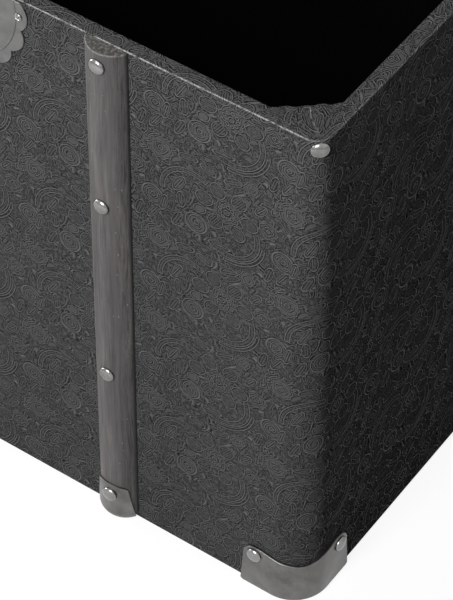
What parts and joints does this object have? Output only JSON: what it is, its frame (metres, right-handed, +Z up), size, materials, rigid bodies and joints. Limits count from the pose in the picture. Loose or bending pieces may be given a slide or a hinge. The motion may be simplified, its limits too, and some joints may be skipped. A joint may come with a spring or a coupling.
{
  "type": "storage trunk",
  "caption": "Board-built storage trunk in embossed leathercloth with half-round slats, metal corner caps, a turn-knob lock, a hinged lid held open by stop hinges, and drop handles.",
  "frame": {"origin": "middle of the underside of the trunk's bottom, between the four corner caps, which stand 2.8 mm lower", "axes": "+Z up, the front with the lock faces -Y, and +X is the end of the trunk that the picture shows"},
  "size_m": [0.4692, 0.5339, 0.7923],
  "materials": {
    "leathercloth": "charcoal, embossed with flowers and scrolls, satin",
    "lining": "black, matt",
    "board": "bare board, hidden under the cloth",
    "slat_wood": "grey-brown wash, open grain",
    "gunmetal": "satin gunmetal",
    "nickel": "polished nickel"
  },
  "bodies": {
    "trunk_body": {"front_board": "board", "back_board": "board", "left_board": "board", "right_board": "board", "floor_board": "board", "body_cover": "leathercloth", "body_lining": "lining", "underside_sheet": "lining", "corner_block_front_right": "leathercloth", "corner_block_back_right": "leathercloth", "corner_block_back_left": "leathercloth", "corner_block_front_left": "leathercloth", "body_slat_left": "slat_wood", "body_slat_right": "slat_wood", "slat_foot_left": "gunmetal", "slat_foot_right": "gunmetal", "corner_cap_front_right": "gunmetal", "corner_cap_back_right": "gunmetal", "corner_cap_back_left": "gunmetal", "corner_cap_front_left": "gunmetal", "lock_plate_body": "gunmetal", "knob_collar": "nickel", "hinge_leaf_body_left": "gunmetal", "hinge_leaf_body_right": "gunmetal", "hinge_pin_left": "nickel", "hinge_pin_right": "nickel", "handle_plate_left": "gunmetal", "handle_plate_right": "gunmetal"},
    "lid": {"lid_top_board": "board", "lid_front_board": "board", "lid_back_board": "board", "lid_left_board": "board", "lid_right_board": "board", "lid_cover": "leathercloth", "lid_lining": "lining", "lid_front_slat_left": "slat_wood", "lid_front_slat_right": "slat_wood", "lid_top_slat_left": "slat_wood", "lid_top_slat_right": "slat_wood", "slat_bend_left": "gunmetal", "slat_bend_right": "gunmetal", "slat_tail_left": "gunmetal", "slat_tail_right": "gunmetal", "lid_cap_front_right": "gunmetal", "lid_cap_back_right": "gunmetal", "lid_cap_back_left": "gunmetal", "lid_cap_front_left": "gunmetal", "lock_plate_lid": "gunmetal", "hasp_pin": "nickel", "hinge_leaf_lid_left": "gunmetal", "hinge_leaf_lid_right": "gunmetal"},
    "hasp": {"hasp": "gunmetal"},
    "turn_knob": {"turn_knob": "nickel"},
    "handle_left": {"handle_bail_left": "gunmetal"},
    "handle_right": {"handle_bail_right": "gunmetal"}
  },
  "joints": [
    {"name": "lid_hinge", "type": "hinge", "parent": "trunk_body", "child": "lid", "pos_m": [0, 0.2133, 0.3563], "axis": [1, 0, 0], "range_deg": [0, 90]},
    {"name": "hasp_hinge", "type": "hinge", "parent": "lid", "child": "hasp", "pos_m": [0, 0.2356, 0.7842], "axis": [1, 0, 0], "range_deg": [0, 180]},
    {"name": "knob_turn", "type": "hinge", "parent": "trunk_body", "child": "turn_knob", "pos_m": [0, -0.2114, 0.342], "axis": [0, -1, 0], "range_deg": [0, 90]},
    {"name": "handle_left_swing", "type": "hinge", "parent": "trunk_body", "child": "handle_left", "pos_m": [-0.2293, 0, 0.235], "axis": [0, 1, 0], "range_deg": [0, 90]},
    {"name": "handle_right_swing", "type": "hinge", "parent": "trunk_body", "child": "handle_right", "pos_m": [0.2293, 0, 0.235], "axis": [0, -1, 0], "range_deg": [0, 90]}
  ]
}
